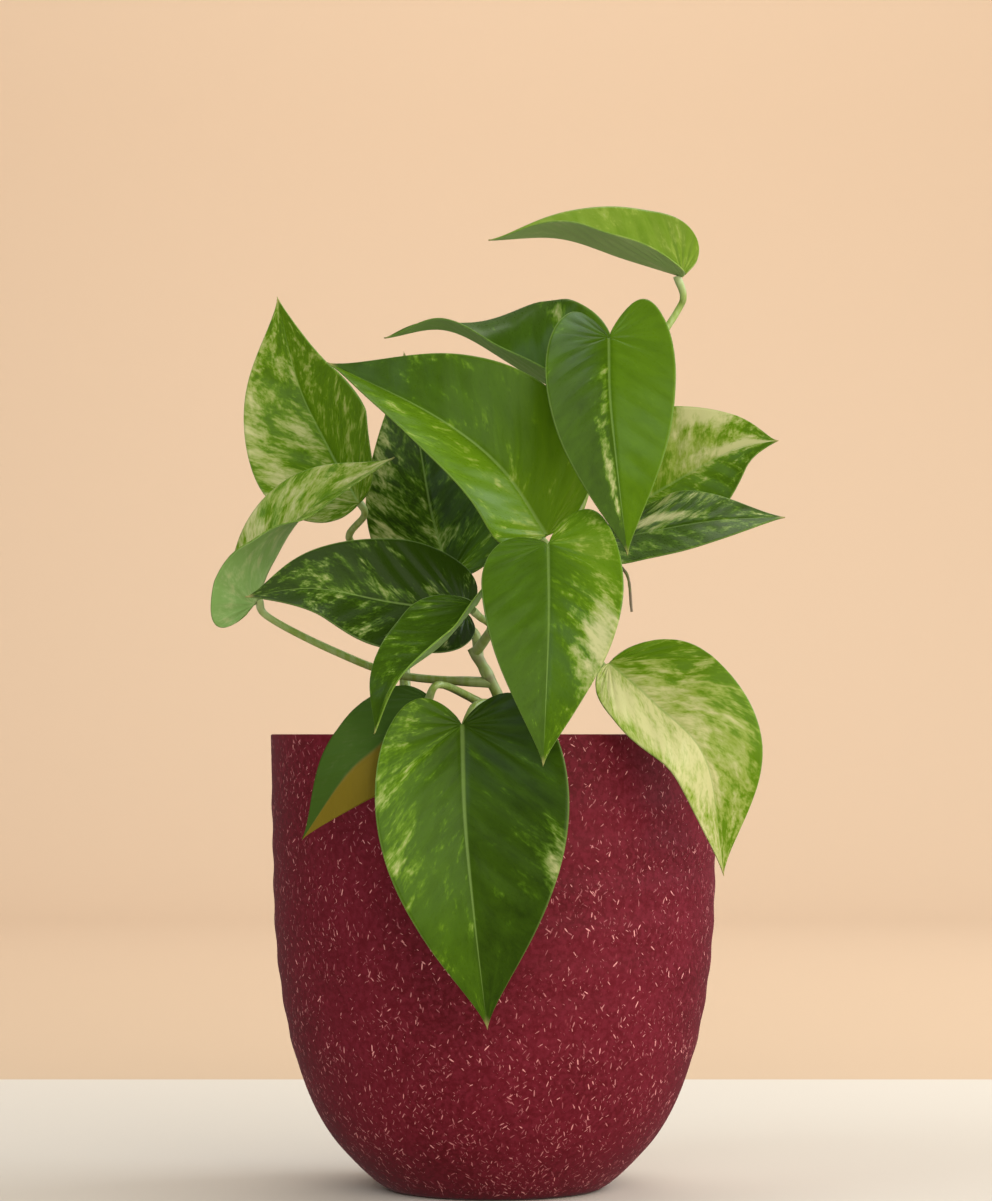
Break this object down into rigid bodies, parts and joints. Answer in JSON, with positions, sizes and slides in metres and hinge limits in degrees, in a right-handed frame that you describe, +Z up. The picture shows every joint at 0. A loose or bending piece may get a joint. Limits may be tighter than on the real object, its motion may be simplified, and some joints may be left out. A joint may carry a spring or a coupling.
{
  "type": "potted golden pothos",
  "caption": "Trailing houseplant with variegated heart-shaped leaves on thin vines, growing in soil in a round-bottomed, ringed planter.",
  "frame": {"origin": "middle of the pot's flat base, on the surface that the pot stands on", "axes": "+Z up along the pot's axis, -Y towards the front of the plant, +X to the right seen from the front"},
  "size_m": [0.186, 0.1839, 0.3306],
  "materials": {
    "pot_composite": "satin moulded plant-fibre composite with pale fibre flecks",
    "potting_soil": "loose, matte and dark, stands in as fabric because the list has no soil",
    "stem_green": "smooth waxy stems, stand in as leather because the list has no plant tissue",
    "leaf_green": "glossy waxy leaves with cream and lime variegation, stand in as leather"
  },
  "bodies": {
    "root": {"pot": "pot_composite", "soil": "potting_soil", "vine_front": "stem_green", "vine_right": "stem_green", "vine_left": "stem_green", "leaf_top": "leaf_green", "leaf_crown": "leaf_green", "leaf_broad": "leaf_green", "leaf_arched": "leaf_green", "leaf_tall_left": "leaf_green", "leaf_hooked": "leaf_green", "leaf_reaching_left": "leaf_green", "leaf_slender": "leaf_green", "leaf_centre": "leaf_green", "leaf_apron": "leaf_green", "leaf_right_drape": "leaf_green", "leaf_right_upper": "leaf_green", "leaf_right_lower": "leaf_green", "leaf_backing": "leaf_green", "leaf_left_drape": "leaf_green"}
  },
  "joints": []
}
